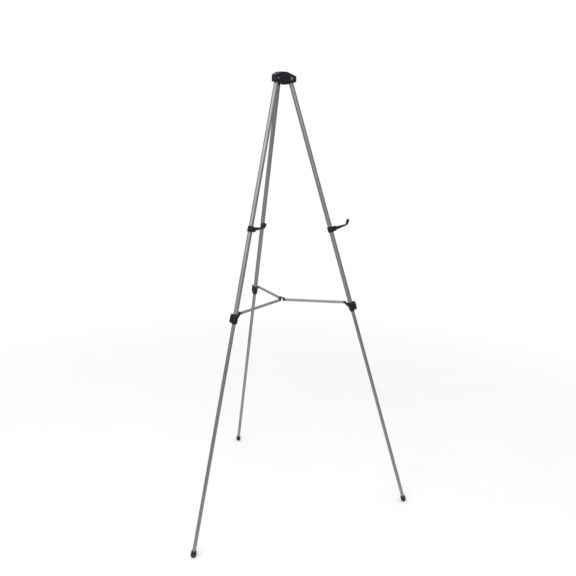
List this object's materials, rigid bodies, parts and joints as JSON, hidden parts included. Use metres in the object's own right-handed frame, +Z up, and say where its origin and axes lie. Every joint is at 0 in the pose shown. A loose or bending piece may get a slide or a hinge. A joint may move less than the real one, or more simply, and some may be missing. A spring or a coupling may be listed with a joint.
{
  "type": "tripod easel",
  "caption": "Folding tripod display easel: telescoping aluminium legs on a black hinged head, a three-strip spreader and sliding hooks that hold the artwork.",
  "frame": {"origin": "on the floor, at the middle of the rectangle that the three feet cover, with the legs open and fully extended", "axes": "+Z up, -Y to the front, where the artwork stands; the back leg is at +Y, the left front leg at -X"},
  "size_m": [0.8706, 0.7566, 1.612],
  "materials": {
    "black_plastic": "satin moulded",
    "upper_aluminium": "satin anodised",
    "lower_aluminium": "satin anodised",
    "strip_aluminium": "satin",
    "black_rubber": "matt",
    "plated_steel": "bright zinc",
    "black_steel": "black coated",
    "hook_steel": "black coated",
    "nylon": "natural moulded"
  },
  "bodies": {
    "head": {"head_body": "black_plastic", "pivot_screws": "plated_steel", "pivot_nuts": "plated_steel"},
    "upper_back": {"top_plug_back": "black_plastic", "upper_tube_back": "upper_aluminium", "collar_back": "black_plastic", "brake_pad_back": "nylon", "lever_pin_back": "plated_steel", "lug_rivet_back": "plated_steel"},
    "lower_back": {"lower_tube_back": "lower_aluminium", "glide_plug_back": "nylon", "foot_back": "black_rubber"},
    "lever_back": {"lock_lever_back": "black_plastic"},
    "upper_left": {"top_plug_left": "black_plastic", "upper_tube_left": "upper_aluminium", "collar_left": "black_plastic", "brake_pad_left": "nylon", "lever_pin_left": "plated_steel", "lug_rivet_left": "plated_steel"},
    "lower_left": {"lower_tube_left": "lower_aluminium", "glide_plug_left": "nylon", "foot_left": "black_rubber"},
    "lever_left": {"lock_lever_left": "black_plastic"},
    "upper_right": {"top_plug_right": "black_plastic", "upper_tube_right": "upper_aluminium", "collar_right": "black_plastic", "brake_pad_right": "nylon", "lever_pin_right": "plated_steel", "lug_rivet_right": "plated_steel"},
    "lower_right": {"lower_tube_right": "lower_aluminium", "glide_plug_right": "nylon", "foot_right": "black_rubber"},
    "lever_right": {"lock_lever_right": "black_plastic"},
    "strip_back": {"spreader_strip_back": "strip_aluminium"},
    "hub": {"hub_plate": "black_steel", "hub_rivets": "plated_steel"},
    "strip_left": {"spreader_strip_left": "strip_aluminium", "strip_rivet_left": "plated_steel"},
    "strip_right": {"spreader_strip_right": "strip_aluminium", "strip_rivet_right": "plated_steel"},
    "liner_left": {"holder_liner_left": "nylon"},
    "clamp_left": {"holder_clamp_left": "black_plastic", "holder_pin_left": "plated_steel"},
    "hook_left": {"holder_hook_left": "hook_steel", "lip_sleeve_left": "black_rubber"},
    "liner_right": {"holder_liner_right": "nylon"},
    "clamp_right": {"holder_clamp_right": "black_plastic", "holder_pin_right": "plated_steel"},
    "hook_right": {"holder_hook_right": "hook_steel", "lip_sleeve_right": "black_rubber"}
  },
  "joints": [
    {"name": "back_leg_fold", "type": "hinge", "parent": "head", "child": "upper_back", "pos_m": [0, -0.08666, 1.589], "axis": [-1, 0, 0], "range_deg": [0, 15.6]},
    {"name": "back_leg_telescope", "type": "slide", "parent": "upper_back", "child": "lower_back", "axis": [0, -0.2813, 0.9596], "range_m": [0, 0.76]},
    {"name": "back_lock_lever", "type": "hinge", "parent": "upper_back", "child": "lever_back", "pos_m": [0, 0.15191, 0.79766], "axis": [1, 0, 0], "range_deg": [0, 100]},
    {"name": "left_leg_fold", "type": "hinge", "parent": "head", "child": "upper_left", "pos_m": [-0.03135, -0.14096, 1.589], "axis": [0.5, -0.866, 0], "range_deg": [0, 15.6]},
    {"name": "left_leg_telescope", "type": "slide", "parent": "upper_left", "child": "lower_left", "axis": [0.2436, 0.1407, 0.9596], "range_m": [0, 0.76]},
    {"name": "left_lock_lever", "type": "hinge", "parent": "upper_left", "child": "lever_left", "pos_m": [-0.23796, -0.26025, 0.79766], "axis": [-0.5, 0.866, 0], "range_deg": [0, 100]},
    {"name": "right_leg_fold", "type": "hinge", "parent": "head", "child": "upper_right", "pos_m": [0.03135, -0.14096, 1.589], "axis": [0.5, 0.866, 0], "range_deg": [0, 15.6]},
    {"name": "right_leg_telescope", "type": "slide", "parent": "upper_right", "child": "lower_right", "axis": [-0.2436, 0.1407, 0.9596], "range_m": [0, 0.76]},
    {"name": "right_lock_lever", "type": "hinge", "parent": "upper_right", "child": "lever_right", "pos_m": [0.23796, -0.26025, 0.79766], "axis": [-0.5, -0.866, 0], "range_deg": [0, 100]},
    {"name": "back_strip_fold", "type": "hinge", "parent": "upper_back", "child": "strip_back", "pos_m": [0, 0.115, 0.8009], "axis": [-1, 0, 0], "range_deg": [0, 72.22]},
    {"name": "hub_level", "type": "hinge", "parent": "strip_back", "child": "hub", "pos_m": [0, -0.11036, 0.8035], "axis": [-1, 0, 0], "range_deg": [-87.82, 0]},
    {"name": "left_strip_fold", "type": "hinge", "parent": "hub", "child": "strip_left", "pos_m": [-0.01082, -0.12911, 0.8035], "axis": [0.5, -0.866, 0], "range_deg": [0, 87.82]},
    {"name": "right_strip_fold", "type": "hinge", "parent": "hub", "child": "strip_right", "pos_m": [0.01082, -0.12911, 0.8035], "axis": [0.5, 0.866, 0], "range_deg": [0, 87.82]},
    {"name": "left_holder_slide", "type": "slide", "parent": "upper_left", "child": "liner_left", "axis": [0.2436, 0.1407, 0.9596], "range_m": [-0.216, 0.414]},
    {"name": "left_holder_swivel", "type": "hinge", "parent": "liner_left", "child": "clamp_left", "pos_m": [-0.15262, -0.21098, 1.084], "axis": [0.2436, 0.1407, 0.9596], "range_deg": [-108, 12]},
    {"name": "left_hook_fold", "type": "hinge", "parent": "clamp_left", "child": "hook_left", "pos_m": [-0.14782, -0.22658, 1.08715], "axis": [-0.9339, -0.2329, 0.2713], "range_deg": [0, 70]},
    {"name": "right_holder_slide", "type": "slide", "parent": "upper_right", "child": "liner_right", "axis": [-0.2436, 0.1407, 0.9596], "range_m": [-0.201, 0.429]},
    {"name": "right_holder_swivel", "type": "hinge", "parent": "liner_right", "child": "clamp_right", "pos_m": [0.15628, -0.21309, 1.0696], "axis": [-0.2436, 0.1407, 0.9596], "range_deg": [-33, 107]},
    {"name": "right_hook_fold", "type": "hinge", "parent": "clamp_right", "child": "hook_right", "pos_m": [0.16635, -0.22469, 1.07595], "axis": [-0.7287, -0.6795, -0.0854], "range_deg": [0, 70]}
  ],
  "couplings": [
    {"joint": "left_leg_fold", "follows": "back_leg_fold", "ratio": 1},
    {"joint": "right_leg_fold", "follows": "back_leg_fold", "ratio": 1},
    {"joint": "back_strip_fold", "follows": "back_leg_fold", "ratio": 4.6291},
    {"joint": "hub_level", "follows": "back_leg_fold", "ratio": -5.6291},
    {"joint": "left_strip_fold", "follows": "back_leg_fold", "ratio": 5.6291},
    {"joint": "right_strip_fold", "follows": "back_leg_fold", "ratio": 5.6291}
  ]
}
